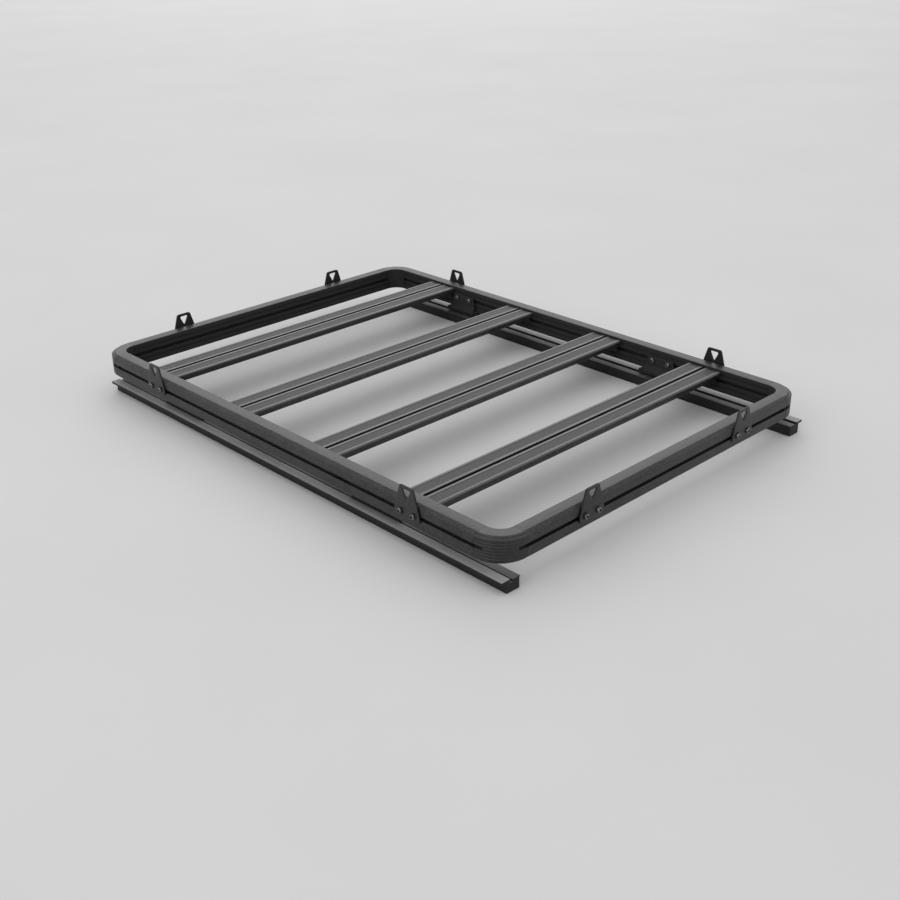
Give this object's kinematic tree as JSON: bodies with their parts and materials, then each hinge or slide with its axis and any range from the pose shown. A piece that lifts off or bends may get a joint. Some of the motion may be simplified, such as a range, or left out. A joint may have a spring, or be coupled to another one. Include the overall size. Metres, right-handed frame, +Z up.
{
  "type": "bed cap platform rack",
  "caption": "Open rectangular platform rack of slotted black rails with rounded corners, wide flat slotted cross rails, tie-down eyes, feet and mounting tracks.",
  "frame": {"origin": "under the middle of the rack, on the underside of the mounting tracks", "axes": "+X to the right along the cross rails, +Y forward along the side rails, +Z up"},
  "size_m": [1.082, 1.496, 0.146],
  "materials": {
    "frame_rail": "satin black powder coat on extruded aluminium",
    "corner": "satin black powder coat on cast aluminium",
    "cross_rail": "satin black powder coat on extruded aluminium",
    "bracket": "black powder coat on aluminium angle",
    "tie_down": "satin black powder coat on steel plate",
    "foot": "black powder coat on cast aluminium",
    "track": "black anodised aluminium",
    "bolt": "black zinc on steel bolts and washers"
  },
  "bodies": {
    "root": {"cross_rail_1": "cross_rail", "cross_rail_1_left_bracket": "bracket", "cross_rail_1_right_bracket": "bracket", "cross_rail_2": "cross_rail", "cross_rail_2_left_bracket": "bracket", "cross_rail_2_right_bracket": "bracket", "cross_rail_3": "cross_rail", "cross_rail_3_left_bracket": "bracket", "cross_rail_3_right_bracket": "bracket", "cross_rail_4": "cross_rail", "cross_rail_4_left_bracket": "bracket", "cross_rail_4_right_bracket": "bracket", "front_left_corner": "corner", "front_left_foot": "foot", "front_rail": "frame_rail", "front_right_corner": "corner", "front_right_foot": "foot", "front_tie_down_left": "tie_down", "front_tie_down_right": "tie_down", "left_mounting_track": "track", "left_side_rail": "frame_rail", "left_tie_down_front": "tie_down", "left_tie_down_rear": "tie_down", "rear_left_corner": "corner", "rear_left_foot": "foot", "rear_rail": "frame_rail", "rear_right_corner": "corner", "rear_right_foot": "foot", "rear_tie_down_left": "tie_down", "rear_tie_down_right": "tie_down", "right_mounting_track": "track", "right_side_rail": "frame_rail", "right_tie_down_front": "tie_down", "right_tie_down_rear": "tie_down"}
  },
  "joints": []
}
